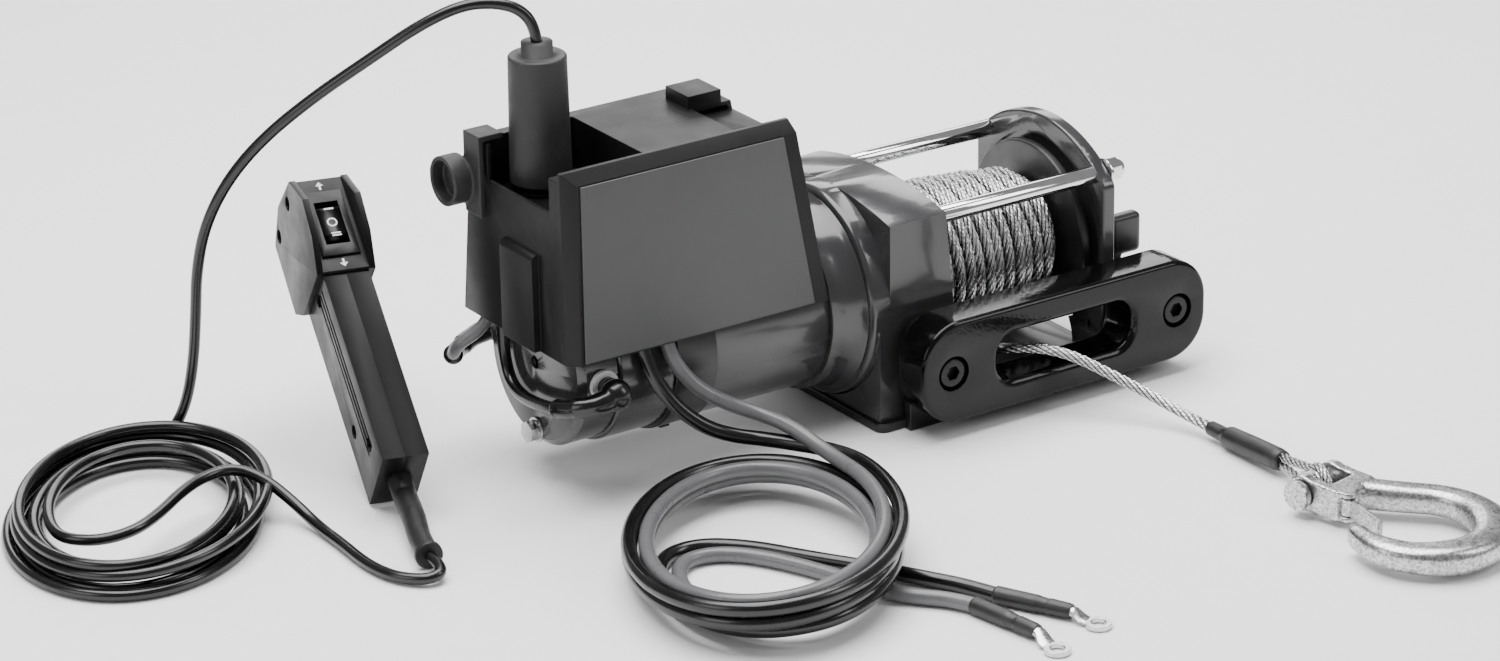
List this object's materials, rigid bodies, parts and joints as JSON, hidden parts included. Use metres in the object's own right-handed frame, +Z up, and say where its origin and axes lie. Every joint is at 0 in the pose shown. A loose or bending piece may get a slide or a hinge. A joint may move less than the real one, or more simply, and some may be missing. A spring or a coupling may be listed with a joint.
{
  "type": "electric trailer winch",
  "caption": "Compact electric planetary winch with wire rope, hawse fairlead, clevis hook, control box, plug-in rocker hand control and supply leads.",
  "frame": {"origin": "centre of the four mounting bolt holes on the underside of the mounting bracket", "axes": "+Z up from the mounting surface, +X along the drum axis from motor to drum, -Y towards the fairlead and the load"},
  "size_m": [0.5421, 0.4498, 0.214],
  "materials": {
    "bracket_paint": "satin dark grey powder coat",
    "housing_paint": "gloss dark grey enamel on a casting",
    "drum_paint": "satin black paint",
    "gloss_black": "gloss black enamel",
    "plated_steel": "zinc plated steel",
    "black_steel": "black oxide steel",
    "chrome_rod": "bright chromium plate",
    "bronze": "sintered bronze",
    "magnet": "sintered ferrite",
    "machined_steel": "machined steel",
    "laminations": "stacked laminations with lacquered copper windings",
    "copper": "turned copper",
    "carbon": null,
    "bush_plastic": "moulded nylon",
    "wire_rope": "galvanised wire rope",
    "lever_plastic": "moulded black plastic",
    "box_plastic": "fine grained moulded plastic",
    "inner_plastic": "moulded plastic",
    "plug_rubber": "moulded rubber",
    "handset_plastic": "grained moulded plastic",
    "switch_plastic": "gloss moulded plastic",
    "cord_black": "smooth black cable sheath",
    "cable_grey": "smooth mid grey cable insulation",
    "lug_metal": "tinned ring terminals with black sleeves",
    "hook_zinc": "bright zinc plate on a forging"
  },
  "bodies": {
    "root": {"back_motor_lead": "cable_grey", "black_supply_lead": "cord_black", "black_supply_tail": "cord_black", "box_saddle": "bracket_paint", "brushes": "carbon", "cable_lugs": "lug_metal", "commutator_housing": "housing_paint", "contactor": "inner_plastic", "control_box_cover": "box_plastic", "dust_cap": "plug_rubber", "end_plate": "housing_paint", "fairlead": "gloss_black", "fairlead_bolts": "black_steel", "field_magnets": "magnet", "fixed_ring_gear": "machined_steel", "foot_screws": "plated_steel", "free_rope": "wire_rope", "front_motor_lead": "cord_black", "gear_housing": "housing_paint", "grey_supply_lead": "cable_grey", "grey_supply_tail": "cable_grey", "handset_left_shell": "handset_plastic", "handset_right_shell": "handset_plastic", "handset_screws": "black_steel", "motor_adapter": "housing_paint", "motor_bushes": "bronze", "motor_can": "housing_paint", "motor_terminals": "plug_rubber", "mounting_bracket": "bracket_paint", "plug": "plug_rubber", "plug_socket": "inner_plastic", "rear_cover": "housing_paint", "remote_cord": "cord_black", "remote_cord_coil": "cord_black", "remote_cord_tail": "cord_black", "rocker_bezel": "switch_plastic", "rope_eye": "wire_rope", "strain_relief": "cord_black", "supply_coil": "cord_black", "through_bolts": "plated_steel", "tie_rods": "chrome_rod"},
    "drum": {"drum": "drum_paint", "drum_bushes": "bush_plastic", "rope_on_drum": "wire_rope"},
    "drive_shaft": {"drive_shaft": "machined_steel", "output_ring_gear": "machined_steel"},
    "clutch_dog": {"clutch_dog": "machined_steel"},
    "clutch_lever": {"clutch_lever": "lever_plastic"},
    "planet_carrier": {"planet_carrier": "machined_steel"},
    "planet_1": {"planet_gear_1": "machined_steel"},
    "planet_2": {"planet_gear_2": "machined_steel"},
    "planet_3": {"planet_gear_3": "machined_steel"},
    "armature": {"armature_shaft": "machined_steel", "armature_core": "laminations", "commutator": "copper", "sun_gear": "machined_steel"},
    "rocker": {"rocker_switch": "switch_plastic"},
    "hook": {"hook": "hook_zinc", "clevis_pin": "hook_zinc"},
    "latch": {"hook_latch": "hook_zinc"}
  },
  "joints": [
    {"name": "drum_spin", "type": "hinge", "parent": "root", "child": "drum", "pos_m": [0, 0, 0.05375], "axis": [1, 0, 0], "continuous": true},
    {"name": "shaft_spin", "type": "hinge", "parent": "root", "child": "drive_shaft", "pos_m": [0, 0, 0.05375], "axis": [1, 0, 0], "continuous": true},
    {"name": "clutch_turn", "type": "hinge", "parent": "root", "child": "clutch_lever", "pos_m": [0, 0, 0.05375], "axis": [1, 0, 0], "range_deg": [-90, 0]},
    {"name": "clutch_slide", "type": "slide", "parent": "drive_shaft", "child": "clutch_dog", "axis": [1, 0, 0], "range_m": [0, 0.005]},
    {"name": "carrier_spin", "type": "hinge", "parent": "root", "child": "planet_carrier", "pos_m": [0, 0, 0.05375], "axis": [1, 0, 0], "continuous": true},
    {"name": "armature_spin", "type": "hinge", "parent": "root", "child": "armature", "pos_m": [0, 0, 0.05375], "axis": [1, 0, 0], "continuous": true},
    {"name": "rocker_tilt", "type": "hinge", "parent": "root", "child": "rocker", "pos_m": [-0.27415, 0.0931, 0.095], "axis": [0.9772, -0.2112, -0.0224], "range_deg": [-9, 9], "stiffness_Nm_per_rad": 0.05},
    {"name": "hook_swing", "type": "hinge", "parent": "root", "child": "hook", "pos_m": [0.023, -0.222, 0.0103], "axis": [0.9828, 0.1848, 0], "range_deg": [-100, 0]},
    {"name": "latch_swing", "type": "hinge", "parent": "hook", "child": "latch", "pos_m": [0.02, -0.24393, 0.00975], "axis": [0.0048, -0.0257, 0.9997], "range_deg": [0, 30], "stiffness_Nm_per_rad": 0.02, "springref_deg": -11.46},
    {"name": "planet_1_spin", "type": "hinge", "parent": "planet_carrier", "child": "planet_1", "pos_m": [-0.076, 0, 0.07625], "axis": [1, 0, 0], "continuous": true},
    {"name": "planet_2_spin", "type": "hinge", "parent": "planet_carrier", "child": "planet_2", "pos_m": [-0.076, -0.01949, 0.0425], "axis": [1, 0, 0], "continuous": true},
    {"name": "planet_3_spin", "type": "hinge", "parent": "planet_carrier", "child": "planet_3", "pos_m": [-0.076, 0.01949, 0.0425], "axis": [1, 0, 0], "continuous": true}
  ],
  "couplings": [
    {"joint": "shaft_spin", "follows": "drum_spin", "ratio": 1},
    {"joint": "carrier_spin", "follows": "drum_spin", "ratio": 21},
    {"joint": "armature_spin", "follows": "drum_spin", "ratio": 126},
    {"joint": "clutch_slide", "follows": "clutch_turn", "m_per_rad": -0.003183},
    {"joint": "planet_1_spin", "follows": "drum_spin", "ratio": -52.5},
    {"joint": "planet_2_spin", "follows": "drum_spin", "ratio": -52.5},
    {"joint": "planet_3_spin", "follows": "drum_spin", "ratio": -52.5}
  ]
}
